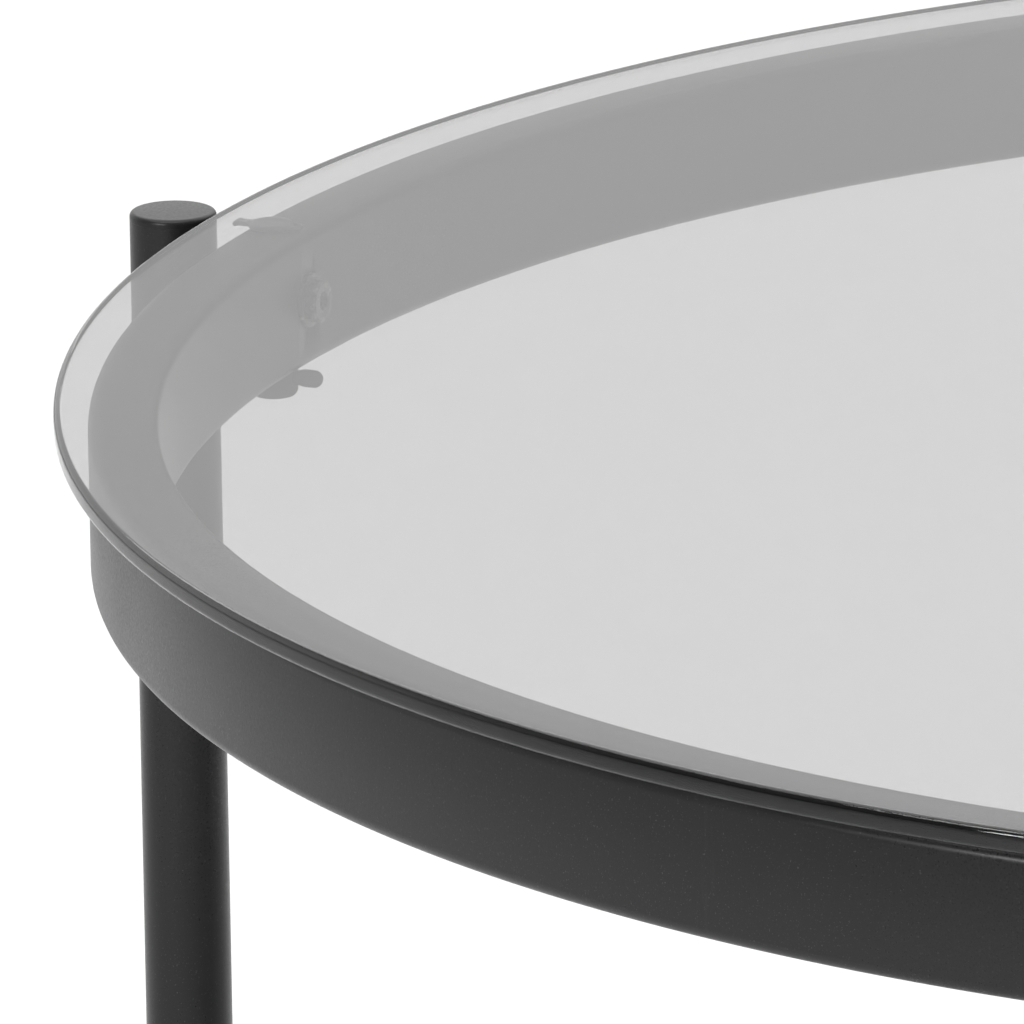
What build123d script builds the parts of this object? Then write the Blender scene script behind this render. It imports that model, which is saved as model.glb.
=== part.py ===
from build123d import *
from dataclasses import dataclass
from math import cos, radians, sin
import os

# Nest of two round glass tables, in millimetres, +Z up, standing on z = 0.
# The large table's legs stand at azimuths 60, 180 and 300 degrees, and the small
# table slides out between the legs at 60 and 300 degrees, along +X.

# Driving dimensions of the pair
large_glass_radius = 400.0
large_height = 450.0
small_glass_radius = 300.0
small_height = 390.0
small_table_offset = 300.0

# Glass
glass_thickness = 5.0
glass_edge_round = 1.5
glass_gap = 1.5
glass_overhang = 7.5

# Rolled rectangular tube ring
tube_width = 15.5
tube_height = 32.0
tube_corner = 3.0
tube_wall = 1.5
tube_inner_corner = tube_corner - tube_wall
drain_hole_radius = 2.5
drain_hole_count = 2
drain_hole_start = 30.0
weld_azimuth = 120.0
weld_arc = 0.8
weld_proud = 0.3
weld_sink = 0.1

# Legs
leg_count = 3
leg_start = 60.0
leg_azimuths = (60.0, 180.0, 300.0)
leg_radius = 10.0
leg_wall = 1.5
leg_clearance = 0.5
leg_top_drop = 0.5
end_disc_thickness = 2.0
end_disc_round = 1.2
end_disc_plug_radius = 8.4
end_disc_plug_length = 3.0

# Feet
felt_thickness = 2.0
felt_radius = 9.0
glide_flange_thickness = 3.0
glide_flange_round = 0.8
glide_plug_radius = 7.6
glide_plug_length = 18.0
glide_rib_radius = 8.45
glide_rib_height = 1.5
glide_rib_pitch = 5.0
glide_rib_count = 3
glide_top = felt_thickness + glide_flange_thickness

# Leg fixing: washer, low-head socket bolt, sleeve, spacer and threaded insert
bolt_shank_radius = 2.98
bolt_hole_radius = 3.3
bolt_head_radius = 5.0
bolt_head_height = 2.8
bolt_head_chamfer = 0.5
bolt_socket_flat = 4.0
bolt_socket_depth = 1.8
bolt_length = 32.0
washer_radius = 6.25
washer_thickness = 1.0
washer_seat_gap = 0.08
sleeve_radius = 5.0
sleeve_end_gap = 0.05
spacer_radius = 7.0
insert_radius = 4.5
insert_bore_radius = 3.0
insert_sink = 1.1
insert_length = 8.0
insert_collar_radius = 5.2
insert_collar_start = 3.6
insert_collar_thickness = 1.8

# Silicone glass pads on the ring and rubber buffers under it
pad_centre_inset = 6.5
pad_radius = 5.2
pad_round = 0.5
pad_tab_length = 12.0
pad_tab_width = 3.2
pad_tab_thickness = 1.0
pad_tab_lift = 0.25
pad_tab_inset = 3.5
pad_eyelet_radius = 2.6
pad_eyelet_hole_radius = 1.2
pad_eyelet_inset = 11.5
pad_eyelet_thickness = 1.0
stem_radius = 2.4
stem_hole_radius = 2.5
stem_length = 5.0
barb_radius = 3.2
barb_height = 2.4
barb_tip_radius = 2.0
buffer_radius = 5.5
buffer_height = 7.3
buffer_round = 1.8
buffer_nub_radius = 1.95
buffer_nub_drop = 2.6
buffer_nub_reach = 18.6
buffer_nub_round = 1.7

cut_margin = 1.0
hang_down = (Align.CENTER, Align.CENTER, Align.MAX)
stand_up = (Align.CENTER, Align.CENTER, Align.MIN)


@dataclass
class Table:
    """One table of the nest: its name, where its axis stands, and its two main sizes."""

    name: str
    centre_x: float
    glass_radius: float
    height: float

    @property
    def glass_bottom(self):
        return self.height - glass_thickness

    @property
    def ring_top(self):
        return self.glass_bottom - glass_gap

    @property
    def ring_bottom(self):
        return self.ring_top - tube_height

    @property
    def ring_outer(self):
        return self.glass_radius - glass_overhang

    @property
    def ring_inner(self):
        return self.ring_outer - tube_width

    @property
    def bolt_height(self):
        return self.ring_top - tube_height / 2

    @property
    def washer_seat(self):
        return self.ring_inner - washer_seat_gap

    @property
    def leg_circle(self):
        return self.glass_radius + leg_clearance + leg_radius

    @property
    def leg_face(self):
        return self.leg_circle - leg_radius

    @property
    def leg_top(self):
        return self.height - leg_top_drop

    @property
    def pad_circle(self):
        return self.ring_outer - pad_centre_inset


def radial_plane(azimuth, radius, height):
    """A plane facing straight out from the table's axis."""
    outward = (cos(radians(azimuth)), sin(radians(azimuth)), 0)
    sideways = (-outward[1], outward[0], 0)
    origin = (radius * outward[0], radius * outward[1], height)
    return Plane(origin=origin, x_dir=sideways, z_dir=outward)


def section_plane(azimuth):
    """An upright plane through the table's axis, its x axis pointing outward."""
    outward = (cos(radians(azimuth)), sin(radians(azimuth)), 0)
    return Plane(origin=(0, 0, 0), x_dir=outward, z_dir=(outward[1], -outward[0], 0))


def bolt_planes(table, radius):
    return [radial_plane(azimuth, radius, table.bolt_height) for azimuth in leg_azimuths]


def at_legs(radius):
    return PolarLocations(radius, leg_count, start_angle=leg_start)


def make_glass_top(table):
    with BuildPart() as glass_top:
        with BuildSketch(Plane.XY.offset(table.glass_bottom)):
            Circle(table.glass_radius)
        extrude(amount=glass_thickness)
        fillet(glass_top.edges().filter_by(GeomType.CIRCLE), radius=glass_edge_round)
    return glass_top.part


def make_ring_frame(table):
    with BuildPart() as ring_frame:
        with BuildSketch(section_plane(0)):
            with Locations((table.ring_outer - tube_width / 2, table.bolt_height)):
                RectangleRounded(tube_width, tube_height, tube_corner)
        revolve(axis=Axis.Z)
        # Weld seam: proud on the inner and lower faces, ground flush on the others
        with BuildSketch(section_plane(weld_azimuth)):
            bead_shift = (weld_proud + weld_sink) / 2
            bead_centre = table.ring_outer - tube_width / 2 - bead_shift
            with Locations((bead_centre, table.bolt_height - bead_shift)):
                bead_growth = weld_proud - weld_sink
                RectangleRounded(tube_width + bead_growth, tube_height + bead_growth, tube_corner)
        revolve(axis=Axis.Z, revolution_arc=weld_arc)
        # Hollow of the tube
        with BuildSketch(section_plane(0)):
            with Locations((table.ring_outer - tube_width / 2, table.bolt_height)):
                hollow_width = tube_width - 2 * tube_wall
                hollow_height = tube_height - 2 * tube_wall
                RectangleRounded(hollow_width, hollow_height, tube_inner_corner)
        revolve(axis=Axis.Z, mode=Mode.SUBTRACT)
        # Bolt holes through both walls
        with BuildSketch(*bolt_planes(table, table.ring_inner - cut_margin)):
            Circle(bolt_hole_radius)
        extrude(amount=tube_width + 2 * cut_margin, mode=Mode.SUBTRACT)
        # Holes for the pad stems in the top wall
        with BuildSketch(Plane.XY.offset(table.ring_top + cut_margin)):
            with at_legs(table.pad_circle):
                Circle(stem_hole_radius)
        extrude(amount=-tube_wall - 2 * cut_margin, mode=Mode.SUBTRACT)
        # Holes for the buffer stems and for draining, in the bottom wall
        with BuildSketch(Plane.XY.offset(table.ring_bottom - cut_margin)):
            with at_legs(table.pad_circle):
                Circle(stem_hole_radius)
            with PolarLocations(table.pad_circle, drain_hole_count, start_angle=drain_hole_start):
                Circle(drain_hole_radius)
        extrude(amount=tube_wall + 2 * cut_margin, mode=Mode.SUBTRACT)
    return ring_frame.part


def make_leg(table, azimuth):
    with BuildPart() as leg:
        with BuildSketch(Plane.XY.offset(glide_top)):
            with PolarLocations(table.leg_circle, 1, start_angle=azimuth):
                Circle(leg_radius)
                Circle(leg_radius - leg_wall, mode=Mode.SUBTRACT)
        extrude(amount=table.leg_top - end_disc_thickness - glide_top)
        with BuildSketch(radial_plane(azimuth, table.leg_face - cut_margin, table.bolt_height)):
            Circle(insert_radius)
        extrude(amount=insert_radius + cut_margin, mode=Mode.SUBTRACT)
    return leg.part


def make_leg_end_discs(table):
    with BuildPart() as end_discs:
        with BuildSketch(Plane.XY.offset(table.leg_top - end_disc_thickness)):
            with at_legs(table.leg_circle):
                Circle(leg_radius)
        extrude(amount=end_disc_thickness)
        fillet(end_discs.edges().group_by(Axis.Z)[-1], radius=end_disc_round)
        with BuildSketch(Plane.XY.offset(table.leg_top - end_disc_thickness)):
            with at_legs(table.leg_circle):
                Circle(end_disc_plug_radius)
        extrude(amount=-end_disc_plug_length)
    return end_discs.part


def make_foot_glides(table):
    with BuildPart() as glides:
        with BuildSketch(Plane.XY.offset(felt_thickness)):
            with at_legs(table.leg_circle):
                Circle(leg_radius)
        extrude(amount=glide_flange_thickness)
        fillet(glides.edges().group_by(Axis.Z)[0], radius=glide_flange_round)
        with BuildSketch(Plane.XY.offset(glide_top)):
            with at_legs(table.leg_circle):
                Circle(glide_plug_radius)
        extrude(amount=glide_plug_length)
        for rib in range(1, glide_rib_count + 1):
            with BuildSketch(Plane.XY.offset(glide_top + rib * glide_rib_pitch)):
                with at_legs(table.leg_circle):
                    Circle(glide_rib_radius)
            extrude(amount=glide_rib_height)
    return glides.part


def make_felt_discs(table):
    with BuildPart() as felt_discs:
        with BuildSketch(Plane.XY):
            with at_legs(table.leg_circle):
                Circle(felt_radius)
        extrude(amount=felt_thickness)
    return felt_discs.part


def make_leg_bolts(table):
    head_face = table.washer_seat - washer_thickness - bolt_head_height
    with BuildPart() as bolts:
        with BuildSketch(*bolt_planes(table, head_face)):
            Circle(bolt_head_radius)
        extrude(amount=bolt_head_height)
        chamfer(bolts.edges().filter_by(GeomType.CIRCLE), length=bolt_head_chamfer)
        with BuildSketch(*bolt_planes(table, head_face)):
            RegularPolygon(bolt_socket_flat / 2, 6, major_radius=False)
        extrude(amount=bolt_socket_depth, mode=Mode.SUBTRACT)
        with BuildSketch(*bolt_planes(table, head_face + bolt_head_height)):
            Circle(bolt_shank_radius)
        extrude(amount=bolt_length)
    return bolts.part


def make_bolt_washers(table):
    with BuildPart() as washers:
        with BuildSketch(*bolt_planes(table, table.washer_seat - washer_thickness)):
            Circle(washer_radius)
            Circle(bolt_hole_radius, mode=Mode.SUBTRACT)
        extrude(amount=washer_thickness)
    return washers.part


def make_crush_sleeves(table):
    sleeve_length = tube_width - 2 * (tube_wall + sleeve_end_gap)
    with BuildPart() as sleeves:
        with BuildSketch(*bolt_planes(table, table.ring_inner + tube_wall + sleeve_end_gap)):
            Circle(sleeve_radius)
            Circle(bolt_hole_radius, mode=Mode.SUBTRACT)
        extrude(amount=sleeve_length)
    return sleeves.part


def make_leg_spacers(table):
    with BuildPart() as spacers:
        with BuildSketch(*bolt_planes(table, table.ring_outer - cut_margin)):
            Circle(spacer_radius)
            Circle(bolt_hole_radius, mode=Mode.SUBTRACT)
        extrude(amount=table.leg_face - table.ring_outer + leg_radius)
        # The two ends are shaped to the ring's outer face and to the round leg
        with BuildSketch(Plane.XY.offset(table.ring_bottom)):
            Circle(table.ring_outer)
            with at_legs(table.leg_circle):
                Circle(leg_radius)
        extrude(amount=tube_height, mode=Mode.SUBTRACT)
    return spacers.part


def make_leg_inserts(table):
    with BuildPart() as inserts:
        with BuildSketch(*bolt_planes(table, table.leg_face + insert_sink)):
            Circle(insert_radius)
        extrude(amount=insert_length)
        with BuildSketch(*bolt_planes(table, table.leg_face + insert_collar_start)):
            Circle(insert_collar_radius)
        extrude(amount=insert_collar_thickness)
        with BuildSketch(*bolt_planes(table, table.leg_face - cut_margin)):
            Circle(insert_bore_radius)
        extrude(amount=insert_length + 2 * cut_margin, mode=Mode.SUBTRACT)
    return inserts.part


def make_glass_pads(table):
    with BuildPart() as pads:
        with BuildSketch(Plane.XY.offset(table.ring_top)):
            with at_legs(table.pad_circle):
                Circle(pad_radius)
        extrude(amount=glass_gap)
        fillet(pads.edges().filter_by(GeomType.CIRCLE), radius=pad_round)
        # Pull tab that sticks out past the ring
        with BuildSketch(Plane.XY.offset(table.ring_top + pad_tab_lift)):
            with at_legs(table.ring_outer - pad_tab_inset):
                SlotOverall(pad_tab_length, pad_tab_width)
        extrude(amount=pad_tab_thickness)
        # Small eyelet on the inner side
        with BuildSketch(Plane.XY.offset(table.ring_top + pad_tab_lift)):
            with at_legs(table.ring_outer - pad_eyelet_inset):
                Circle(pad_eyelet_radius)
        extrude(amount=pad_eyelet_thickness)
        with BuildSketch(Plane.XY.offset(table.ring_top)):
            with at_legs(table.ring_outer - pad_eyelet_inset):
                Circle(pad_eyelet_hole_radius)
        extrude(amount=glass_gap, mode=Mode.SUBTRACT)
        # Stem through the top wall, with a barb under it
        with BuildSketch(Plane.XY.offset(table.ring_top)):
            with at_legs(table.pad_circle):
                Circle(stem_radius)
        extrude(amount=-stem_length)
        with Locations((0, 0, table.ring_top - tube_wall)):
            with at_legs(table.pad_circle):
                Cone(barb_tip_radius, barb_radius, barb_height, align=hang_down)
    return pads.part


def make_ring_buffers(table):
    nub_start = table.ring_outer - buffer_nub_reach
    nub_height = table.ring_bottom - buffer_nub_drop
    nub_planes = [radial_plane(azimuth, nub_start, nub_height) for azimuth in leg_azimuths]
    with BuildPart() as buffers:
        # Rounded nub that points inward
        with BuildSketch(*nub_planes):
            Circle(buffer_nub_radius)
        extrude(amount=buffer_nub_reach - pad_centre_inset)
        fillet(buffers.edges().filter_by(GeomType.CIRCLE), radius=buffer_nub_round)
        # Button under the ring
        with BuildSketch(Plane.XY.offset(table.ring_bottom)):
            with at_legs(table.pad_circle):
                Circle(buffer_radius)
        extrude(amount=-buffer_height)
        fillet(buffers.edges().group_by(Axis.Z)[0], radius=buffer_round)
        # Stem through the bottom wall, with a barb above it
        with BuildSketch(Plane.XY.offset(table.ring_bottom)):
            with at_legs(table.pad_circle):
                Circle(stem_radius)
        extrude(amount=stem_length)
        with Locations((0, 0, table.ring_bottom + tube_wall)):
            with at_legs(table.pad_circle):
                Cone(barb_radius, barb_tip_radius, barb_height, align=stand_up)
    return buffers.part


def make_parts(table):
    """Every piece of one table by its node name, around the table's own axis."""
    pieces = {
        "glass_top": make_glass_top(table),
        "ring_frame": make_ring_frame(table),
        "leg_end_discs": make_leg_end_discs(table),
        "foot_glides": make_foot_glides(table),
        "felt_discs": make_felt_discs(table),
        "leg_bolts": make_leg_bolts(table),
        "bolt_washers": make_bolt_washers(table),
        "crush_sleeves": make_crush_sleeves(table),
        "leg_spacers": make_leg_spacers(table),
        "leg_inserts": make_leg_inserts(table),
        "glass_pads": make_glass_pads(table),
        "ring_buffers": make_ring_buffers(table),
    }
    for number, azimuth in enumerate(leg_azimuths, start=1):
        pieces[f"leg_{number}"] = make_leg(table, azimuth)
    return pieces


# The origin lies under the middle of the pair's overall length
large_reach = large_glass_radius + leg_clearance + 2 * leg_radius
centre_x = (small_table_offset + small_glass_radius - large_reach) / 2
tables = (
    Table("large", -centre_x, large_glass_radius, large_height),
    Table("small", small_table_offset - centre_x, small_glass_radius, small_height),
)

os.makedirs("parts", exist_ok=True)
for table in tables:
    for piece_name, piece in make_parts(table).items():
        placed = Pos(table.centre_x, 0, 0) * piece
        placed.label = f"{table.name}_{piece_name}"
        export_step(placed, f"parts/{placed.label}.step")
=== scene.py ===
from math import cos, pi, radians, sin, tau
import bmesh
import bpy
from mathutils import Matrix, Vector, noise


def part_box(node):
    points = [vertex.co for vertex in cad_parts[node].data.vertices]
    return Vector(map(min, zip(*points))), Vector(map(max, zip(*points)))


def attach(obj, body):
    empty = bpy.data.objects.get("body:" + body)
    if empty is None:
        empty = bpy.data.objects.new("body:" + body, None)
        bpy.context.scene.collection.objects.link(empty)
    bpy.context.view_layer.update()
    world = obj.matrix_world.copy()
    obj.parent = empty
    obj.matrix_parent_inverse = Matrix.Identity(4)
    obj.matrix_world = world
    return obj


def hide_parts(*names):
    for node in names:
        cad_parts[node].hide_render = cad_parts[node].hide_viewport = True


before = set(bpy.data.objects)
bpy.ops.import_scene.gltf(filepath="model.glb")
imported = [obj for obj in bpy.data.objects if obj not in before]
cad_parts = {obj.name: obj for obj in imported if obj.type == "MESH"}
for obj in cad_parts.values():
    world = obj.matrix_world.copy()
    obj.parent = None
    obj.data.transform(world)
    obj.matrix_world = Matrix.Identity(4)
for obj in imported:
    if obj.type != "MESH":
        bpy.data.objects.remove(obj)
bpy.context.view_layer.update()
MM = 0.001

# Sizes that the frame's boxes don't give
TUBE_WIDTH = 15.5 * MM
TUBE_HEIGHT = 32.0 * MM
TUBE_CORNER = 3.0 * MM
TUBE_WALL = 1.5 * MM
GLASS_ROUND = 1.5 * MM
GLASS_ROUND_STEPS = 12
GLASS_FACE_MARGIN = 0.1 * MM
LEG_WALL = 1.5 * MM
END_DISC_ROUND = 1.2 * MM
END_DISC_SEAM = 0.03 * MM
LEG_AZIMUTHS = (60.0, 180.0, 300.0)
WELD_AZIMUTH = 120.0
WELD_HALF_WIDTH = 2.6 * MM
WELD_PROUD = 0.28 * MM
WELD_RIPPLE = 1.1 * MM
WELD_STEPS_PER_RIPPLE = 6
WELD_FADE_STEPS = 8
WELD_SEGMENTS = 16
DRAIN_AZIMUTHS = (30.0, 210.0)
DRAIN_RADIUS = 2.5 * MM
STEM_INSET = 6.5 * MM
STEM_RADIUS = 2.4 * MM
STEM_LENGTH = 5.0 * MM
STEM_HOLE_RADIUS = 2.5 * MM
BARB_RADIUS = 3.2 * MM
BARB_TIP_RADIUS = 2.0 * MM
BARB_HEIGHT = 2.4 * MM
BOLT_HOLE_RADIUS = 3.3 * MM
INSERT_HOLE_RADIUS = 4.5 * MM
SHANK_RADIUS = 2.98 * MM
THREAD_ROOT_RADIUS = 2.55 * MM
THREAD_PITCH = 1.0 * MM
THREAD_START = 12.0 * MM
BOLT_LENGTH = 32.0 * MM
HEAD_RADIUS = 5.0 * MM
HEAD_HEIGHT = 2.8 * MM
HEAD_CHAMFER = 0.5 * MM
HEAD_LIP = 0.15 * MM
SOCKET_FLAT = 2.0 * MM
SOCKET_DEPTH = 1.8 * MM
WASHER_RADIUS = 6.25 * MM
WASHER_THICKNESS = 1.0 * MM
WASHER_EDGE = 0.2 * MM
PAD_RADIUS = 5.2 * MM
PAD_EDGE = 0.4 * MM
PAD_LIP = 1.2 * MM
PAD_HOLLOW_EDGE = 2.0 * MM
PAD_HOLLOW = 0.45 * MM
PAD_TAB_BOTTOM = 0.25 * MM
PAD_TAB_TOP = 1.25 * MM
PAD_TAB_HALF_WIDTH = 1.6 * MM
PAD_TAB_REACH = 2.5 * MM
PAD_GRIP_RADIUS = 0.68 * MM
PAD_GRIP_LIFT = 0.06 * MM
PAD_EYELET_INSET = 11.5 * MM
PAD_EYELET_INNER = 1.2 * MM
PAD_EYELET_OUTER = 2.6 * MM
PAD_EYELET_ROUND = 0.3 * MM
BUFFER_RADIUS = 5.5 * MM
BUFFER_ROUND = 1.8 * MM
BUFFER_NUB_DROP = 2.6 * MM
BUFFER_NUB_REACH = 18.6 * MM
BUFFER_NECK_RADIUS = 1.6 * MM
BUFFER_KNOB_RADIUS = 2.05 * MM
GLIDE_ROUND = 0.8 * MM
GLIDE_FLANGE = 3.0 * MM
GLIDE_FLANGE_EDGE = 0.2 * MM
GLIDE_PLUG_RADIUS = 7.6 * MM
GLIDE_RIB_RADIUS = 8.45 * MM
GLIDE_RIB_PITCH = 5.0 * MM
GLIDE_RIB_COUNT = 3
GLIDE_RIB_LAND = 0.4 * MM
GLIDE_RIB_WIDTH = 1.5 * MM
GLIDE_TIP_CHAMFER = 0.6 * MM
FELT_INSET = 1.0 * MM
FELT_ROUND = 0.55 * MM
FELT_ROUND_STEPS = 4
FELT_RINGS = 9
FELT_FLAT = 0.93
FELT_FUZZ = 0.12 * MM
FUZZ_COARSE, FUZZ_FINE = 900.0, 2600.0
SOFT_VOXEL = 0.22 * MM

RING_SEGMENTS = 720
LEG_SEGMENTS = 96
SMALL_SEGMENTS = 48
CORNER_STEPS = 6
SMOOTH_ANGLE = radians(32)


class Table:
    """Places and sizes of one table, read from the frame."""

    def __init__(self, name):
        self.name = name
        self.body = f"{name}_table"
        glass_low, glass_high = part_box(f"{name}_glass_top")
        ring_low, ring_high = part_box(f"{name}_ring_frame")
        self.centre_x = (glass_low.x + glass_high.x) / 2
        self.glass_radius = (glass_high.y - glass_low.y) / 2
        self.glass_bottom = glass_low.z
        self.glass_top = glass_high.z
        self.ring_outer = (ring_high.y - ring_low.y) / 2
        self.ring_inner = self.ring_outer - TUBE_WIDTH
        self.ring_top = ring_high.z
        self.ring_bottom = ring_high.z - TUBE_HEIGHT
        self.ring_middle = self.ring_top - TUBE_HEIGHT / 2
        self.stem_circle = self.ring_outer - STEM_INSET
        leg_low, leg_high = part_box(f"{name}_leg_2")
        self.leg_radius = (leg_high.y - leg_low.y) / 2
        self.leg_circle = self.centre_x - (leg_low.x + leg_high.x) / 2
        self.leg_bottom = leg_low.z
        self.leg_top = leg_high.z
        self.pad_overhang = self.ring_outer - self.stem_circle
        self.bolt_tip = self.centre_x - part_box(f"{name}_leg_bolts")[0].x
        washer_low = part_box(f"{name}_bolt_washers")[0]
        self.washer_face = self.centre_x - washer_low.x - WASHER_THICKNESS

    def node(self, piece):
        return f"{self.name}_{piece}"

    def centre(self, height=0.0):
        return Vector((self.centre_x, 0, height))

    def at(self, azimuth, radius, height):
        angle = radians(azimuth)
        return Vector((self.centre_x + radius * cos(angle), radius * sin(angle), height))

    def upright(self, azimuth, radius, height=0.0):
        """Placement whose x axis points outward at this azimuth and whose z axis is up."""
        turn = Matrix.Rotation(radians(azimuth), 4, "Z")
        return Matrix.Translation(self.at(azimuth, radius, height)) @ turn

    def outward(self, azimuth, radius, height):
        """Placement whose z axis points outward at this azimuth."""
        return self.upright(azimuth, radius, height) @ Matrix.Rotation(pi / 2, 4, "Y")


tables = (Table("large"), Table("small"))


# ---------------------------------------------------------------- mesh tools

def arc(centre_radius, centre_height, radius, start, end, steps=CORNER_STEPS):
    """Profile points (radius, height) along an arc, angles in degrees from straight outward."""
    points = []
    for step in range(steps + 1):
        angle = radians(start + (end - start) * step / steps)
        points.append((centre_radius + radius * cos(angle), centre_height + radius * sin(angle)))
    return points


def rounded_box_profile(inner, outer, bottom, top, corner):
    """Closed profile of a rounded rectangle, anticlockwise from its lower outer corner."""
    profile = arc(outer - corner, bottom + corner, corner, -90, 0)
    profile += arc(outer - corner, top - corner, corner, 0, 90)
    profile += arc(inner + corner, top - corner, corner, 90, 180)
    profile += arc(inner + corner, bottom + corner, corner, 180, 270)
    return profile


def hexagon(angle):
    """How far a hexagon's side is from its centre at this angle, for a flat at distance 1."""
    side = pi / 3
    return 1 / cos(angle % side - side / 2)


def lathe(bm, profile, segments, closed=False, placement=Matrix.Identity(4), shape=None):
    """Turns a profile of (radius, height) points about the placement's z axis and adds it to bm.

    With a shape, a third value of True on a point gives its ring that shape instead of a circle.
    """
    axis_limit = 1e-7
    rings = []
    for radius, height, *shaped in profile:
        if radius < axis_limit:
            rings.append([bm.verts.new(placement @ Vector((0, 0, height)))])
            continue
        ring = []
        for segment in range(segments):
            angle = tau * segment / segments
            reach = radius * shape(angle) if shaped else radius
            point = Vector((reach * cos(angle), reach * sin(angle), height))
            ring.append(bm.verts.new(placement @ point))
        rings.append(ring)
    pairs = list(zip(rings, rings[1:]))
    if closed:
        pairs.append((rings[-1], rings[0]))
    faces = []
    for lower, upper in pairs:
        for segment in range(segments):
            following = (segment + 1) % segments
            corners = []
            around = ((lower, segment), (lower, following), (upper, following), (upper, segment))
            for ring, index in around:
                vertex = ring[0] if len(ring) == 1 else ring[index]
                if vertex not in corners:
                    corners.append(vertex)
            if len(corners) > 2:
                faces.append(bm.faces.new(corners))
    return faces


def make_piece(name, bm, materials, table, replaced=()):
    """Turns bm into an object that rides on its table and stands for the replaced CAD nodes."""
    bmesh.ops.recalc_face_normals(bm, faces=bm.faces)
    mesh = bpy.data.meshes.new(name)
    bm.to_mesh(mesh)
    bm.free()
    mesh.shade_smooth()
    mesh.set_sharp_from_angle(angle=SMOOTH_ANGLE)
    piece = bpy.data.objects.new(name, mesh)
    bpy.context.scene.collection.objects.link(piece)
    for material in materials:
        mesh.materials.append(material)
    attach(piece, table.body)
    if replaced:
        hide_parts(*replaced)
    return piece


def apply_modifiers(piece):
    """Keeps the mesh as its modifiers leave it."""
    depsgraph = bpy.context.evaluated_depsgraph_get()
    mesh = bpy.data.meshes.new_from_object(piece.evaluated_get(depsgraph))
    piece.modifiers.clear()
    piece.data = mesh


def drill(piece, holes):
    """Cuts round holes, each given by the placement of its middle, its radius and its depth."""
    bm = bmesh.new()
    for placement, radius, depth in holes:
        profile = [(0.0, -depth / 2), (radius, -depth / 2), (radius, depth / 2), (0.0, depth / 2)]
        lathe(bm, profile, SMALL_SEGMENTS, placement=placement)
    bmesh.ops.recalc_face_normals(bm, faces=bm.faces)
    mesh = bpy.data.meshes.new("drill")
    bm.to_mesh(mesh)
    bm.free()
    cutter = bpy.data.objects.new("drill", mesh)
    bpy.context.scene.collection.objects.link(cutter)
    boolean = piece.modifiers.new("holes", "BOOLEAN")
    boolean.operation = "DIFFERENCE"
    boolean.solver = "EXACT"
    boolean.object = cutter
    apply_modifiers(piece)
    bpy.data.objects.remove(cutter)


def mould(piece, smoothing=6):
    """Melts a piece's overlapping closed forms into one soft-edged skin."""
    remesh = piece.modifiers.new("skin", "REMESH")
    remesh.mode = "VOXEL"
    remesh.voxel_size = SOFT_VOXEL
    remesh.use_smooth_shade = True
    smooth = piece.modifiers.new("soften", "SMOOTH")
    smooth.factor = 0.5
    smooth.iterations = smoothing
    apply_modifiers(piece)


def slab(bm, outline, bottom, top, placement):
    """Adds an upright prism with this outline of (x, y) points."""
    layers = []
    for height in (bottom, top):
        layers.append([bm.verts.new(placement @ Vector((x, y, height))) for x, y in outline])
    lower, upper = layers
    bm.faces.new(lower)
    bm.faces.new(upper)
    count = len(outline)
    for index in range(count):
        following = (index + 1) % count
        bm.faces.new((lower[index], lower[following], upper[following], upper[index]))


# ---------------------------------------------------------------- node tools

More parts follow.
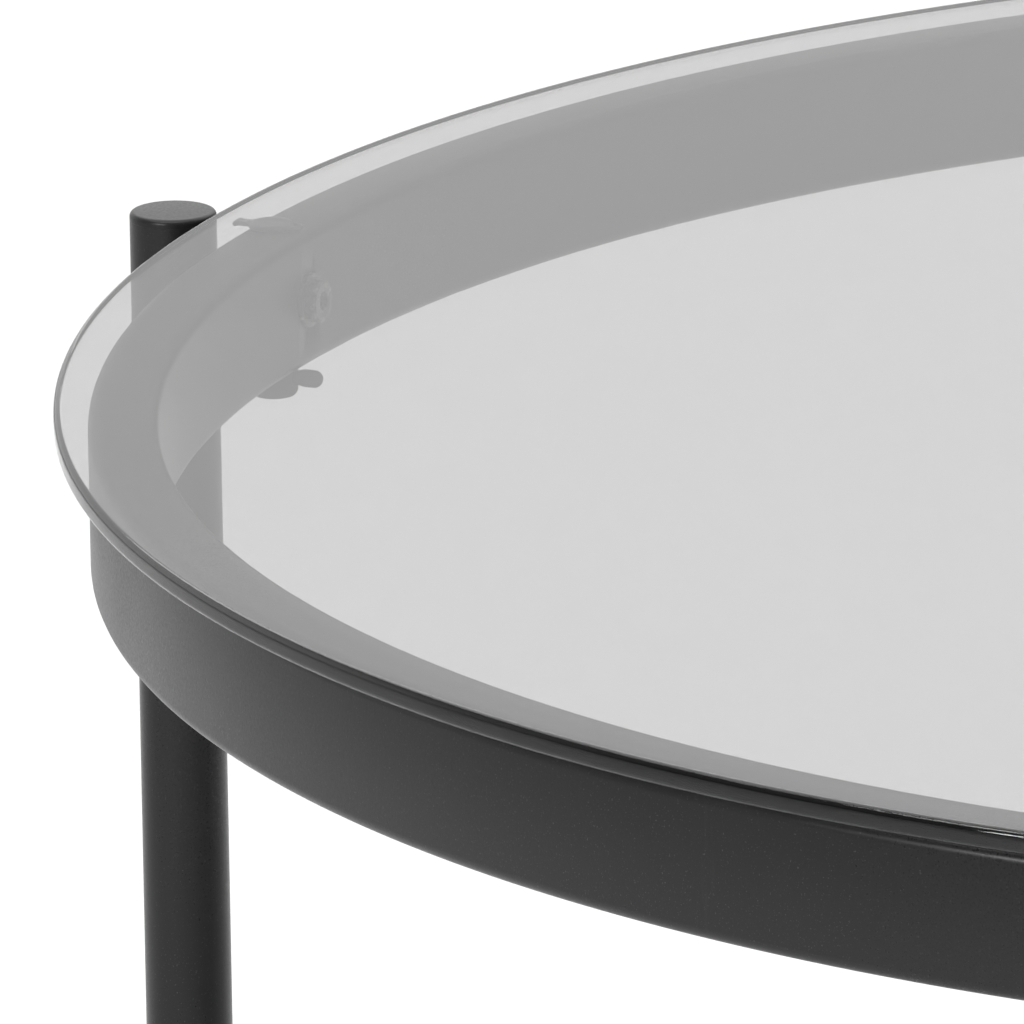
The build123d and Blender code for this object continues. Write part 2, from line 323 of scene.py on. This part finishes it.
class Shader:
    """A material's node tree, with short calls to build it."""

    def __init__(self, name):
        self.material = bpy.data.materials.new(name)
        self.material.use_nodes = True
        self.tree = self.material.node_tree
        self.principled = self.tree.nodes["Principled BSDF"]
        self.output = self.tree.nodes["Material Output"]
        self.place = self.tree.nodes.new("ShaderNodeTexCoord").outputs["Object"]

    def add(self, kind, inputs=None, **properties):
        node = self.tree.nodes.new(kind)
        for key, value in properties.items():
            setattr(node, key, value)
        for key, value in (inputs or {}).items():
            self.feed(node.inputs[key], value)
        return node

    def feed(self, socket, value):
        if isinstance(value, bpy.types.NodeSocket):
            self.tree.links.new(value, socket)
        else:
            socket.default_value = value

    def set(self, **values):
        for key, value in values.items():
            self.feed(self.principled.inputs[key.replace("_", " ")], value)

    def stretched(self, scale):
        return self.add("ShaderNodeMapping", {"Vector": self.place, "Scale": scale}).outputs["Vector"]

    def noise(self, scale, detail=3.0, roughness=0.5, vector=None):
        settings = {"Vector": vector or self.place, "Scale": scale}
        settings.update({"Detail": detail, "Roughness": roughness})
        return self.add("ShaderNodeTexNoise", settings).outputs["Fac"]

    def cells(self, scale):
        settings = {"Vector": self.place, "Scale": scale}
        return self.add("ShaderNodeTexVoronoi", settings).outputs["Distance"]

    def remap(self, value, low, high, to_low=0.0, to_high=1.0):
        settings = {"Value": value, "From Min": low, "From Max": high}
        settings.update({"To Min": to_low, "To Max": to_high})
        return self.add("ShaderNodeMapRange", settings, clamp=True).outputs["Result"]

    def maths(self, operation, first, second):
        node = self.add("ShaderNodeMath", {0: first, 1: second}, operation=operation)
        return node.outputs["Value"]

    def blend(self, factor, first, second):
        node = self.add("ShaderNodeMix", data_type="RGBA")
        colour_inputs = [socket for socket in node.inputs if socket.type == "RGBA"]
        self.feed(node.inputs["Factor"], factor)
        self.feed(colour_inputs[0], first)
        self.feed(colour_inputs[1], second)
        return next(socket for socket in node.outputs if socket.type == "RGBA")

    def tinted_glass(self, rough):
        """Clear glass with a smoke tint that deepens with the light's path through it."""
        self.set(Base_Color=(1.0, 1.0, 1.0, 1.0), Roughness=rough, IOR=1.52, Transmission_Weight=1.0)
        tint = self.add("ShaderNodeVolumeAbsorption")
        tint.inputs["Color"].default_value = (0.02, 0.0, 0.01, 1.0)
        tint.inputs["Density"].default_value = SMOKE_DENSITY
        self.tree.links.new(tint.outputs["Volume"], self.output.inputs["Volume"])

    def bump(self, height, strength, distance, normal=None):
        settings = {"Height": height, "Strength": strength, "Distance": distance}
        if normal is not None:
            settings["Normal"] = normal
        return self.add("ShaderNodeBump", settings).outputs["Normal"]


def grey(value, warmth=0.0):
    return (value * (1 + warmth), value, value * (1 - warmth), 1.0)


# ---------------------------------------------------------------- materials

SMOKE_DENSITY = 92.0


def powder_coat():
    """Matt black powder coat: fine grain, soft orange peel, light scuffs, faint dust and painted
    glints.
    """
    shader = Shader("black_powder_coat")
    grain = shader.noise(1500.0, 2.0, 0.6)
    peel = shader.noise(420.0, 2.0)
    drift = shader.noise(9.0, 3.0)
    # Painted glints: sparse specks lightened in the base colour stand in for the coat's grain catching
    # the light.
    painted_glint = shader.remap(shader.noise(2600.0, 1.0), 0.66, 0.80)
    scuffs = shader.remap(shader.noise(30.0, 6.0, 0.75, shader.stretched((1.0, 1.0, 0.12))), 0.66, 0.78)
    dust = shader.remap(drift, 0.45, 0.75, 0.0, 0.35)
    base = shader.blend(painted_glint, grey(0.012), grey(0.06))
    base = shader.blend(shader.maths("MULTIPLY", scuffs, 0.35), base, grey(0.05, 0.02))
    base = shader.blend(dust, base, grey(0.02, 0.02))
    shade = shader.remap(grain, 0.3, 0.7, 0.28, 0.38)
    rough = shader.maths("ADD", shade, shader.remap(drift, 0.3, 0.7, -0.04, 0.05))
    normal = shader.bump(peel, 0.12, 0.00012)
    normal = shader.bump(grain, 0.25, 0.00006, normal)
    shader.set(Base_Color=base, Roughness=rough, Normal=normal, IOR=1.5, Specular_IOR_Level=0.35)
    return shader.material


def smoked_glass():
    """Smoke-tinted float glass: tint by depth, with the faintest film of dust and wipe marks."""
    shader = Shader("smoked_glass")
    wipe = shader.noise(14.0, 5.0, 0.6, shader.stretched((1.0, 0.25, 1.0)))
    shader.tinted_glass(shader.remap(wipe, 0.35, 0.75, 0.0, 0.01))
    return shader.material


def polished_edge():
    """The glass's rounded edge: the same tinted glass with the faint haze of a wheel polish."""
    shader = Shader("smoked_glass_edge")
    grind = shader.noise(160.0, 2.0, 0.6)
    shader.tinted_glass(shader.remap(grind, 0.3, 0.7, 0.02, 0.06))
    return shader.material


def black_steel():
    """Black-oxide fastener steel, rubbed brighter in patches."""
    shader = Shader("black_steel_bolt")
    rub = shader.remap(shader.noise(600.0, 4.0, 0.6), 0.5, 0.75)
    tool = shader.noise(2500.0, 2.0)
    base = shader.blend(rub, grey(0.1), grey(0.36, 0.03))
    rough = shader.remap(tool, 0.3, 0.7, 0.28, 0.45)
    normal = shader.bump(tool, 0.2, 0.00004)
    shader.set(Base_Color=base, Roughness=rough, Metallic=0.85, Normal=normal)
    return shader.material


def bright_steel():
    """Zinc-plated steel with fine turning marks."""
    shader = Shader("bright_steel")
    marks = shader.noise(1800.0, 3.0, 0.6, shader.stretched((1.0, 1.0, 0.15)))
    base = shader.blend(shader.remap(marks, 0.3, 0.7), grey(0.5, 0.02), grey(0.64, 0.01))
    rough = shader.remap(marks, 0.3, 0.7, 0.24, 0.4)
    shader.set(Base_Color=base, Roughness=rough, Metallic=1.0, Normal=shader.bump(marks, 0.15, 0.00004))
    return shader.material


def black_nylon():
    """Matt moulded nylon with a fine spark-eroded texture."""
    shader = Shader("black_nylon")
    texture = shader.cells(1700.0)
    drift = shader.noise(120.0, 3.0)
    base = shader.blend(shader.remap(drift, 0.35, 0.7), grey(0.014), grey(0.026, 0.01))
    rough = shader.remap(texture, 0.1, 0.7, 0.5, 0.66)
    shader.set(Base_Color=base, Roughness=rough, Normal=shader.bump(texture, 0.3, 0.00005))
    return shader.material


def black_rubber():
    """Soft black rubber with bloom and a moulding grain."""
    shader = Shader("black_rubber")
    bloom = shader.remap(shader.noise(260.0, 4.0, 0.6), 0.4, 0.75)
    grain = shader.noise(3200.0, 2.0)
    base = shader.blend(bloom, grey(0.012), grey(0.032, 0.02))
    rough = shader.remap(bloom, 0.0, 1.0, 0.55, 0.75)
    shader.set(Base_Color=base, Roughness=rough, Normal=shader.bump(grain, 0.25, 0.00004))
    return shader.material


def clear_silicone():
    """Translucent silicone with trapped haze and a little lint."""
    shader = Shader("clear_silicone")
    haze = shader.noise(500.0, 3.0)
    lint = shader.remap(shader.noise(1400.0, 5.0, 0.75), 0.66, 0.74)
    base = shader.blend(lint, grey(0.3), grey(0.18, 0.03))
    rough = shader.remap(haze, 0.3, 0.7, 0.25, 0.42)
    shader.set(Base_Color=base, Roughness=rough, IOR=1.41, Transmission_Weight=0.45)
    shader.set(Normal=shader.bump(haze, 0.15, 0.0001))
    return shader.material


def grey_felt():
    """Pressed wool felt: tangled fibres and flecks."""
    shader = Shader("grey_felt")
    fibres = shader.noise(2400.0, 6.0, 0.75, shader.stretched((1.0, 1.0, 0.5)))
    flecks = shader.remap(shader.noise(900.0, 3.0), 0.6, 0.7)
    base = shader.blend(shader.remap(fibres, 0.35, 0.65), grey(0.05), grey(0.12, 0.02))
    base = shader.blend(flecks, base, grey(0.26, 0.02))
    rough = shader.remap(fibres, 0.3, 0.7, 0.85, 1.0)
    shader.set(Base_Color=base, Roughness=rough, Sheen_Weight=0.4)
    shader.set(Normal=shader.bump(fibres, 0.8, 0.0003))
    return shader.material


coat = powder_coat()
glass = smoked_glass()
edge_glass = polished_edge()
bolt_steel = black_steel()
plated_steel = bright_steel()
nylon = black_nylon()
rubber = black_rubber()
silicone = clear_silicone()
felt = grey_felt()


# ---------------------------------------------------------------- glass and frame

def make_glass(table):
    """A disc with flat faces and a polished, rounded edge."""
    radius = table.glass_radius
    low, high = table.glass_bottom, table.glass_top
    flat_radius = radius - GLASS_ROUND
    face_radius = flat_radius - GLASS_FACE_MARGIN
    profile = [(0.0, low), (face_radius, low)]
    profile += arc(flat_radius, low + GLASS_ROUND, GLASS_ROUND, -90, 0, GLASS_ROUND_STEPS)
    profile += arc(flat_radius, high - GLASS_ROUND, GLASS_ROUND, 0, 90, GLASS_ROUND_STEPS)
    profile += [(face_radius, high), (0.0, high)]
    bm = bmesh.new()
    faces = lathe(bm, profile, RING_SEGMENTS, placement=Matrix.Translation(table.centre()))
    for face in faces:
        heights = [vertex.co.z for vertex in face.verts]
        on_the_edge = max(heights) - min(heights) > 0.01 * MM
        face.material_index = int(on_the_edge)
    node = table.node("glass_top")
    make_piece(f"{node}_pane", bm, (glass, edge_glass), table, (node,))


def make_ring(table):
    bm = bmesh.new()
    centre = Matrix.Translation(table.centre())
    edges = (table.ring_inner, table.ring_outer, table.ring_bottom, table.ring_top)
    inner, outer, bottom, top = edges
    outside = rounded_box_profile(*edges, TUBE_CORNER)
    inside = rounded_box_profile(inner + TUBE_WALL, outer - TUBE_WALL, bottom + TUBE_WALL,
                                 top - TUBE_WALL, TUBE_CORNER - TUBE_WALL)
    lathe(bm, outside, RING_SEGMENTS, closed=True, placement=centre)
    lathe(bm, list(reversed(inside)), RING_SEGMENTS // 4, closed=True, placement=centre)
    node = table.node("ring_frame")
    ring = make_piece(f"{node}_tube", bm, (coat,), table, (node,))
    holes = []
    for azimuth in LEG_AZIMUTHS:
        across = table.outward(azimuth, table.ring_outer - TUBE_WIDTH / 2, table.ring_middle)
        holes.append((across, BOLT_HOLE_RADIUS, TUBE_WIDTH * 1.5))
        for height in (table.ring_bottom, table.ring_top):
            through = table.upright(azimuth, table.stem_circle, height)
            holes.append((through, STEM_HOLE_RADIUS, TUBE_WALL * 3))
    for azimuth in DRAIN_AZIMUTHS:
        through = table.upright(azimuth, table.stem_circle, table.ring_bottom)
        holes.append((through, DRAIN_RADIUS, TUBE_WALL * 3))
    drill(ring, holes)


def make_weld(table):
    """A rippled bead down the ring's inner face and across its lower face, where the ends meet."""
    corner_circle = table.ring_inner + TUBE_CORNER
    path = arc(corner_circle, table.ring_top - TUBE_CORNER, TUBE_CORNER, 135, 180)
    path += arc(corner_circle, table.ring_bottom + TUBE_CORNER, TUBE_CORNER, 180, 270)
    path.append((table.ring_outer - TUBE_CORNER, table.ring_bottom))
    points = [Vector((radius, 0, height)) for radius, height in path]
    steps = []
    for start, end in zip(points, points[1:]):
        count = max(1, round((end - start).length / (WELD_RIPPLE / WELD_STEPS_PER_RIPPLE)))
        steps += [start.lerp(end, index / count) for index in range(count)]
    steps.append(points[-1])
    bm = bmesh.new()
    placement = table.upright(WELD_AZIMUTH, 0.0)
    rings = []
    travelled = 0.0
    for index, point in enumerate(steps):
        before, after = steps[max(index - 1, 0)], steps[min(index + 1, len(steps) - 1)]
        along = (after - before).normalized()
        away = Vector((-along.z, 0, along.x))
        travelled += (point - before).length
        end_distance = min(index, len(steps) - 1 - index, WELD_FADE_STEPS)
        end_fade = 0.3 + 0.7 * end_distance / WELD_FADE_STEPS
        ripple = 0.82 + 0.18 * abs(sin(pi * travelled / WELD_RIPPLE))
        wander = 0.88 + 0.12 * noise.noise(point * 300.0)
        width = WELD_HALF_WIDTH * wander * end_fade * (0.9 + 0.1 * ripple)
        proud = WELD_PROUD * ripple * end_fade
        ring = []
        for turn in range(WELD_SEGMENTS):
            angle = tau * turn / WELD_SEGMENTS
            offset = away * proud * sin(angle) + Vector((0, width * cos(angle), 0))
            ring.append(bm.verts.new(placement @ (point + offset)))
        rings.append(ring)
    for lower, upper in zip(rings, rings[1:]):
        for turn in range(WELD_SEGMENTS):
            following = (turn + 1) % WELD_SEGMENTS
            bm.faces.new((lower[turn], lower[following], upper[following], upper[turn]))
    bm.faces.new(rings[0])
    bm.faces.new(rings[-1])
    make_piece(f"{table.name}_ring_weld_bead", bm, (coat,), table)


def make_leg_tubes(table):
    outer = table.leg_radius
    inner = outer - LEG_WALL
    profile = [(inner, table.leg_bottom), (outer, table.leg_bottom)]
    profile += [(outer, table.leg_top), (inner, table.leg_top)]
    for number, azimuth in enumerate(LEG_AZIMUTHS, start=1):
        bm = bmesh.new()
        placement = table.upright(azimuth, table.leg_circle)
        lathe(bm, profile, LEG_SEGMENTS, closed=True, placement=placement)
        node = table.node(f"leg_{number}")
        leg = make_piece(f"{node}_tube", bm, (coat,), table, (node,))
        near_wall = table.outward(azimuth, table.leg_circle - outer, table.ring_middle)
        drill(leg, [(near_wall, INSERT_HOLE_RADIUS, INSERT_HOLE_RADIUS * 2)])


def make_end_discs(table):
    disc_low, disc_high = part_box(table.node("leg_end_discs"))
    radius = table.leg_radius
    plug_radius = radius - LEG_WALL
    top = disc_high.z
    profile = [(0.0, disc_low.z), (plug_radius, disc_low.z), (plug_radius, table.leg_top)]
    profile += [(radius - END_DISC_SEAM, table.leg_top), (radius, table.leg_top + END_DISC_SEAM)]
    profile += arc(radius - END_DISC_ROUND, top - END_DISC_ROUND, END_DISC_ROUND, 0, 90)
    profile.append((0.0, top))
    bm = bmesh.new()
    for azimuth in LEG_AZIMUTHS:
        lathe(bm, profile, LEG_SEGMENTS, placement=table.upright(azimuth, table.leg_circle))
    node = table.node("leg_end_discs")
    make_piece(f"{node}_coated", bm, (coat,), table, (node,))


# ---------------------------------------------------------------- fasteners, pads and feet

def make_bolts(table):
    """Low-head socket bolts: hexagon socket, chamfered head, plain neck and a cut thread."""
    profile = [(0.0, SOCKET_DEPTH), (SOCKET_FLAT, SOCKET_DEPTH, True), (SOCKET_FLAT, HEAD_LIP, True)]
    profile += [(SOCKET_FLAT * 1.2, 0.0), (HEAD_RADIUS - HEAD_CHAMFER, 0.0)]
    profile += [(HEAD_RADIUS, HEAD_CHAMFER), (HEAD_RADIUS, HEAD_HEIGHT - HEAD_LIP)]
    profile += [(HEAD_RADIUS - HEAD_LIP, HEAD_HEIGHT), (SHANK_RADIUS, HEAD_HEIGHT)]
    tip = HEAD_HEIGHT + BOLT_LENGTH
    height = THREAD_START
    while height < tip - THREAD_PITCH:
        profile += [(SHANK_RADIUS, height), (THREAD_ROOT_RADIUS, height + THREAD_PITCH / 2)]
        height += THREAD_PITCH
    profile += [(THREAD_ROOT_RADIUS, tip), (0.0, tip)]
    bm = bmesh.new()
    for azimuth in LEG_AZIMUTHS:
        placement = table.outward(azimuth, table.bolt_tip - tip, table.ring_middle)
        lathe(bm, profile, SMALL_SEGMENTS, placement=placement, shape=hexagon)
    node = table.node("leg_bolts")
    make_piece(f"{node}_machined", bm, (bolt_steel,), table, (node,))


def make_washers(table):
    """Stamped washers, rounded on the face that the punch entered."""
    inner, outer = BOLT_HOLE_RADIUS, WASHER_RADIUS
    profile = [(inner + WASHER_EDGE, 0.0), (outer - WASHER_EDGE, 0.0), (outer, WASHER_EDGE)]
    profile += [(outer, WASHER_THICKNESS), (inner, WASHER_THICKNESS), (inner, WASHER_EDGE)]
    bm = bmesh.new()
    for azimuth in LEG_AZIMUTHS:
        placement = table.outward(azimuth, table.washer_face, table.ring_middle)
        lathe(bm, profile, SMALL_SEGMENTS, closed=True, placement=placement)
    node = table.node("bolt_washers")
    make_piece(f"{node}_stamped", bm, (bolt_steel,), table, (node,))


def stem_profile(direction, base_radius):
    """A barbed stem from its tip to the face that it grows from, up (1) or down (-1)."""
    points = [(0.0, STEM_LENGTH), (BARB_TIP_RADIUS * 0.8, STEM_LENGTH)]
    points += [(BARB_TIP_RADIUS, TUBE_WALL + BARB_HEIGHT), (BARB_RADIUS, TUBE_WALL)]
    points += [(STEM_RADIUS, TUBE_WALL), (STEM_RADIUS, 0.0), (base_radius, 0.0)]
    return [(radius, height * direction) for radius, height in points]


def slot_outline(start, end, half_width):
    """Outline of a bar with round ends, along x."""
    outline = arc(end - half_width, 0.0, half_width, -90, 90, SMALL_SEGMENTS // 4)
    return outline + arc(start + half_width, 0.0, half_width, 90, 270, SMALL_SEGMENTS // 4)


def make_pads(table):
    """Silicone pads: a shallow suction cup under the glass, a pull tab, an eyelet and a barbed stem."""
    thickness = table.glass_bottom - table.ring_top
    cup = stem_profile(-1, PAD_RADIUS - PAD_EDGE)
    cup += [(PAD_RADIUS, PAD_EDGE), (PAD_RADIUS, thickness - PAD_HOLLOW)]
    cup += [(PAD_RADIUS - PAD_EDGE, thickness), (PAD_RADIUS - PAD_LIP, thickness)]
    cup += [(PAD_RADIUS - PAD_HOLLOW_EDGE, thickness - PAD_EDGE), (0.0, thickness - PAD_HOLLOW)]
    tab_end = table.pad_overhang + PAD_TAB_REACH
    tab = slot_outline(0.0, tab_end, PAD_TAB_HALF_WIDTH)
    grip_half = PAD_TAB_HALF_WIDTH
    grip = [(0.0, -grip_half - PAD_GRIP_RADIUS), *arc(0.0, -grip_half, PAD_GRIP_RADIUS, -60, 0)]
    grip += [*arc(0.0, grip_half, PAD_GRIP_RADIUS, 0, 60), (0.0, grip_half + PAD_GRIP_RADIUS)]
    grip_shift = (tab_end - PAD_GRIP_RADIUS, 0, PAD_GRIP_RADIUS + PAD_GRIP_LIFT)
    sideways = Matrix.Translation(grip_shift) @ Matrix.Rotation(pi / 2, 4, "X")
    eyelet = rounded_box_profile(PAD_EYELET_INNER, PAD_EYELET_OUTER, PAD_TAB_BOTTOM, PAD_TAB_TOP,
                                 PAD_EYELET_ROUND)
    inward = Matrix.Translation((table.pad_overhang - PAD_EYELET_INSET, 0, 0))
    bm = bmesh.new()
    for azimuth in LEG_AZIMUTHS:
        placement = table.upright(azimuth, table.stem_circle, table.ring_top)
        lathe(bm, cup, SMALL_SEGMENTS, placement=placement)
        slab(bm, tab, PAD_TAB_BOTTOM, PAD_TAB_TOP, placement)
        lathe(bm, grip, SMALL_SEGMENTS // 2, placement=placement @ sideways)
        lathe(bm, eyelet, SMALL_SEGMENTS, closed=True, placement=placement @ inward)
    node = table.node("glass_pads")
    pads = make_piece(f"{node}_moulded", bm, (silicone,), table, (node,))
    mould(pads, smoothing=2)


def make_buffers(table):
    """Rubber buffers under the ring: a round button, a nub that points inward and a barbed stem."""
    depth = table.ring_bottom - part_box(table.node("ring_buffers"))[0].z
    button = stem_profile(1, BUFFER_RADIUS)
    button += arc(BUFFER_RADIUS - BUFFER_ROUND, BUFFER_ROUND - depth, BUFFER_ROUND, 0, -90)
    button.append((0.0, -depth))
    reach = BUFFER_NUB_REACH - table.pad_overhang
    neck, knob = BUFFER_NECK_RADIUS, BUFFER_KNOB_RADIUS
    nub = [(0.0, 0.0), (neck, 0.0), (neck, reach - 3.2 * knob)]
    nub += [(knob, reach - 2.2 * knob), *arc(0.0, reach - knob, knob, 0, 90)]
    nub[-1] = (0.0, reach)
    inward = Matrix.Translation((0, 0, -BUFFER_NUB_DROP)) @ Matrix.Rotation(-pi / 2, 4, "Y")
    bm = bmesh.new()
    for azimuth in LEG_AZIMUTHS:
        placement = table.upright(azimuth, table.stem_circle, table.ring_bottom)
        lathe(bm, button, SMALL_SEGMENTS, placement=placement)
        lathe(bm, nub, SMALL_SEGMENTS, placement=placement @ inward)
    node = table.node("ring_buffers")
    buffers = make_piece(f"{node}_moulded", bm, (rubber,), table, (node,))
    mould(buffers)


def make_glides(table):
    """Push-in foot glides: a round-edged flange, a grooved seat for the tube and barbed ribs."""
    low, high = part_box(table.node("foot_glides"))
    flange_top = low.z + GLIDE_FLANGE
    radius = table.leg_radius
    plug, rib = GLIDE_PLUG_RADIUS, GLIDE_RIB_RADIUS
    profile = [(0.0, low.z)] + arc(radius - GLIDE_ROUND, low.z + GLIDE_ROUND, GLIDE_ROUND, -90, 0)
    profile += [(radius, flange_top - GLIDE_FLANGE_EDGE), (radius - GLIDE_FLANGE_EDGE, flange_top)]
    profile.append((plug, flange_top))
    for number in range(1, GLIDE_RIB_COUNT + 1):
        start = flange_top + number * GLIDE_RIB_PITCH
        profile += [(plug, start), (rib, start), (rib, start + GLIDE_RIB_LAND)]
        profile.append((plug, start + GLIDE_RIB_WIDTH))
    profile += [(plug, high.z - GLIDE_TIP_CHAMFER), (plug - GLIDE_TIP_CHAMFER, high.z), (0.0, high.z)]
    bm = bmesh.new()
    for azimuth in LEG_AZIMUTHS:
        lathe(bm, profile, LEG_SEGMENTS, placement=table.upright(azimuth, table.leg_circle))
    node = table.node("foot_glides")
    make_piece(f"{node}_moulded", bm, (nylon,), table, (node,))


def make_felts(table):
    """Felt discs: soft rounded edges and a fibrous, slightly trodden face."""
    low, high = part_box(table.node("felt_discs"))
    radius = table.leg_radius - FELT_INSET
    rings = [radius * step / FELT_RINGS * FELT_FLAT for step in range(FELT_RINGS)]
    profile = [(ring, low.z) for ring in rings]
    profile += arc(radius - FELT_ROUND, low.z + FELT_ROUND, FELT_ROUND, -90, 0, FELT_ROUND_STEPS)
    profile += arc(radius - FELT_ROUND, high.z - FELT_ROUND, FELT_ROUND, 0, 90, FELT_ROUND_STEPS)
    profile += [(ring, high.z) for ring in reversed(rings)]
    bm = bmesh.new()
    for azimuth in LEG_AZIMUTHS:
        lathe(bm, profile, LEG_SEGMENTS, placement=table.upright(azimuth, table.leg_circle))
    middle = (low.z + high.z) / 2
    for vertex in bm.verts:
        lift = abs(noise.noise(vertex.co * FUZZ_COARSE)) * FELT_FUZZ
        lift += abs(noise.noise(vertex.co * FUZZ_FINE)) * FELT_FUZZ / 2
        vertex.co.z += lift if vertex.co.z < middle else -lift
    node = table.node("felt_discs")
    make_piece(f"{node}_pressed", bm, (felt,), table, (node,))


plain_nodes = {"crush_sleeves": plated_steel, "leg_inserts": plated_steel, "leg_spacers": nylon}
for table in tables:
    make_glass(table)
    make_ring(table)
    make_weld(table)
    make_leg_tubes(table)
    make_end_discs(table)
    make_bolts(table)
    make_washers(table)
    make_pads(table)
    make_buffers(table)
    make_glides(table)
    make_felts(table)
    for piece_name, material in plain_nodes.items():
        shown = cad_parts[table.node(piece_name)]
        shown.data.materials.clear()
        shown.data.materials.append(material)


# ---------------------------------------------------------------- stage, light and camera

FLOOR_RADIUS = 14.0
FLOOR_SEGMENTS = 96

# The tent's level runs from a low to a high value between two cosines of the angle to a direction
TENT_BRIGHT_SIDE = radians(110)
TENT_AROUND = (0.2, 0.88, 0.25, 1.05)
TENT_ABOVE = (0.35, 0.7, 0.0, 1.0)
TENT_TOP = 0.35
BACK_RADIANCE = 1.5
STRIP_RADIANCE = 6.0
LEFT_RADIANCE = 20.0
LEFT_AIM = radians(41)

VIEW_BEARING = radians(-71.268)
VIEW_DISTANCE = 3.56525
VIEW_HEIGHT = 0.95157
VIEW_YAW = radians(23.559)
VIEW_PITCH = radians(-15.414)
VIEW_ROLL = radians(-0.857)
VIEW_LENS = 591.0
VIEW_FAR = 60.0


def stage_floor():
    shader = Shader("studio_floor")
    drift = shader.noise(0.8, 2.0)
    base = shader.blend(drift, grey(0.93), grey(0.95))
    shader.set(Base_Color=base, Roughness=0.9)
    bm = bmesh.new()
    bmesh.ops.create_circle(bm, cap_ends=True, radius=FLOOR_RADIUS, segments=FLOOR_SEGMENTS)
    mesh = bpy.data.meshes.new("studio_floor")
    bm.to_mesh(mesh)
    bm.free()
    floor = bpy.data.objects.new("studio_floor", mesh)
    bpy.context.scene.collection.objects.link(floor)
    mesh.materials.append(shader.material)


def area_light(name, length, width, radiance, shift, height, aim):
    """A soft light, placed from the large table's middle along the view's own directions."""
    data = bpy.data.lights.new(name, "AREA")
    data.shape = "RECTANGLE"
    data.size, data.size_y = length, width
    data.energy = radiance * pi * length * width
    light = bpy.data.objects.new(name, data)
    light.matrix_world = (Matrix.Translation(tables[0].centre(height))
                          @ Matrix.Rotation(VIEW_YAW, 4, "Z")
                          @ Matrix.Translation((*shift, 0)) @ aim)
    bpy.context.scene.collection.objects.link(light)


def tent_level(tree, direction, toward, limits):
    """How bright the tent is along a direction: a smooth step between two levels."""
    along = tree.nodes.new("ShaderNodeVectorMath")
    along.operation = "DOT_PRODUCT"
    tree.links.new(direction, along.inputs[0])
    along.inputs[1].default_value = toward
    level = tree.nodes.new("ShaderNodeMapRange")
    level.interpolation_type = "SMOOTHSTEP"
    tree.links.new(along.outputs["Value"], level.inputs["Value"])
    for socket, value in zip(("From Min", "From Max", "To Min", "To Max"), limits):
        level.inputs[socket].default_value = value
    return level.outputs["Result"]


def studio_light():
    """A soft tent of light, brightest behind and to the left, with three soft boxes in it."""
    world = bpy.data.worlds.new("studio")
    world.use_nodes = True
    tree = world.node_tree
    direction = tree.nodes.new("ShaderNodeTexCoord").outputs["Generated"]
    bright_side = TENT_BRIGHT_SIDE + VIEW_YAW
    around = tent_level(tree, direction, (cos(bright_side), sin(bright_side), 0.0), TENT_AROUND)
    above = tent_level(tree, direction, (0.0, 0.0, 1.0), TENT_ABOVE)
    total = tree.nodes.new("ShaderNodeMix")
    tree.links.new(above, total.inputs["Factor"])
    tree.links.new(around, total.inputs["A"])
    total.inputs["B"].default_value = TENT_TOP
    background = tree.nodes["Background"]
    tree.links.new(total.outputs["Result"], background.inputs["Strength"])
    background.inputs["Color"].default_value = (1.0, 1.0, 1.0, 1.0)
    bpy.context.scene.world = world
    down = Matrix.Identity(4)
    area_light("back_softbox", 3.2, 3.6, BACK_RADIANCE, (0.1, 1.9), 2.0, down)
    area_light("overhead_strip", 1.7, 0.4, STRIP_RADIANCE, (-0.62, -0.36), 1.95, down)
    toward_rim = Matrix.Rotation(LEFT_AIM, 4, "Z") @ Matrix.Rotation(-pi / 2, 4, "Y")
    area_light("left_panel", 0.35, 0.8, LEFT_RADIANCE, (-1.66, -1.6), 1.05, toward_rim)


def make_camera():
    """A long lens on the near left part of the large table, a little above its glass."""
    target = tables[0]
    place = target.centre(target.glass_top + VIEW_HEIGHT)
    place += Vector((VIEW_DISTANCE * cos(VIEW_BEARING), VIEW_DISTANCE * sin(VIEW_BEARING), 0))
    data = bpy.data.cameras.new("camera")
    data.lens = VIEW_LENS
    data.clip_end = VIEW_FAR
    camera = bpy.data.objects.new("camera", data)
    turn = Matrix.Rotation(VIEW_YAW, 4, "Z") @ Matrix.Rotation(pi / 2 + VIEW_PITCH, 4, "X")
    camera.matrix_world = Matrix.Translation(place) @ turn @ Matrix.Rotation(VIEW_ROLL, 4, "Z")
    bpy.context.scene.collection.objects.link(camera)
    bpy.context.scene.camera = camera


stage_floor()
studio_light()
make_camera()
bpy.context.scene.view_settings.view_transform = "Standard"
